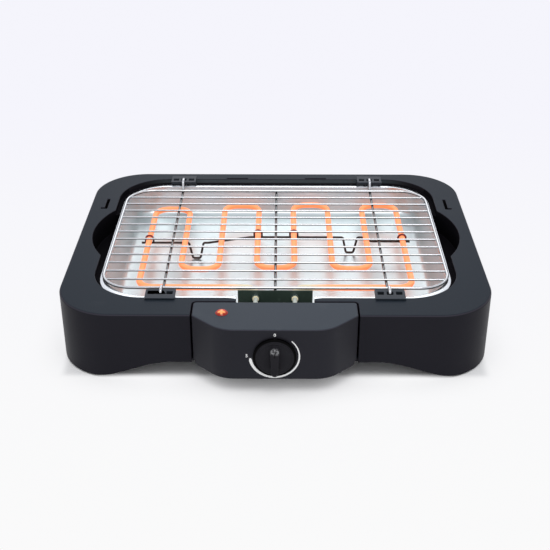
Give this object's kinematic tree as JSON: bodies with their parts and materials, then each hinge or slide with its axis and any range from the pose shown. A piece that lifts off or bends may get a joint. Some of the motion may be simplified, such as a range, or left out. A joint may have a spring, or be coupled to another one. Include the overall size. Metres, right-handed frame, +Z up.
{
  "type": "table-top electric barbecue grill",
  "caption": "Open table-top electric grill: plastic body, reflector tray, lift-off control box with heating element, and a wire grid on four slotted supports.",
  "frame": {"origin": "on the table, under the middle of the whole grill's box", "axes": "+X to the right as seen from the front, +Y to the back, +Z up"},
  "size_m": [0.48, 0.4226, 0.087],
  "materials": {
    "charcoal_plastic": "satin, lightly textured",
    "foot_rubber": "matte",
    "bright_tray": "bright, mirror-like sheet",
    "support_plastic": "matte, heat-resistant",
    "chrome_wire": "bright plated wire",
    "base_plastic": "matte",
    "screw_steel": "zinc plated",
    "bracket_steel": "dark green-grey coat",
    "element_sheath": "oxidised steel sheath, glowing orange when hot",
    "dark_wire": "dark heat-stained wire",
    "collar_steel": "pale plated steel",
    "sleeve_ceramic": "unglazed",
    "terminal_brass": "plain",
    "thermostat_ceramic": "unglazed",
    "knob_plastic": "satin",
    "lens_plastic": "translucent, lit from inside",
    "neon_glass": "clear",
    "plunger_plastic": "smooth",
    "block_plastic": "plain",
    "gland_rubber": "matte",
    "lead_insulation": "silicone rubber"
  },
  "bodies": {
    "base": {"body_shell": "charcoal_plastic", "foot_pads": "foot_rubber"},
    "tray": {"drip_tray": "bright_tray", "grid_support_front_left": "support_plastic", "grid_support_front_right": "support_plastic", "grid_support_back_left": "support_plastic", "grid_support_back_right": "support_plastic"},
    "heater": {"control_box_cover": "charcoal_plastic", "control_box_base": "base_plastic", "box_screws": "screw_steel", "heater_bracket": "bracket_steel", "bracket_screws": "screw_steel", "heating_element": "element_sheath", "element_support_wire": "dark_wire", "terminal_collars": "collar_steel", "terminal_sleeves": "sleeve_ceramic", "terminal_pins": "terminal_brass", "thermostat": "thermostat_ceramic", "thermostat_screws": "screw_steel", "pilot_lens": "lens_plastic", "neon_lamp": "neon_glass", "safety_switch": "base_plastic", "terminal_block": "block_plastic", "cord_clamp": "base_plastic", "clamp_screws": "screw_steel", "cord_gland": "gland_rubber", "lead_wires": "lead_insulation"},
    "knob": {"thermostat_shaft": "screw_steel", "control_knob": "knob_plastic"},
    "plunger": {"switch_plunger": "plunger_plastic"},
    "grid": {"grid_frame": "chrome_wire", "grid_bars": "chrome_wire", "grid_cross_wire_left": "chrome_wire", "grid_cross_wire_centre": "chrome_wire", "grid_cross_wire_right": "chrome_wire"}
  },
  "joints": [
    {"name": "tray_lift", "type": "slide", "parent": "base", "child": "tray", "axis": [0, 0, 1], "range_m": [0, 0.12]},
    {"name": "heater_lift", "type": "slide", "parent": "tray", "child": "heater", "axis": [0, 0, 1], "range_m": [0, 0.12]},
    {"name": "grid_lift", "type": "slide", "parent": "heater", "child": "grid", "axis": [0, 0, 1], "range_m": [0, 0.12]},
    {"name": "knob_turn", "type": "hinge", "parent": "heater", "child": "knob", "pos_m": [0, -0.19675, 0.0485], "axis": [0, 1, 0], "range_deg": [0, 270]},
    {"name": "plunger_travel", "type": "slide", "parent": "heater", "child": "plunger", "axis": [0, 0, -1], "range_m": [0, 0.003]}
  ],
  "couplings": [
    {"joint": "plunger_travel", "follows": "heater_lift", "ratio": 0.025}
  ]
}
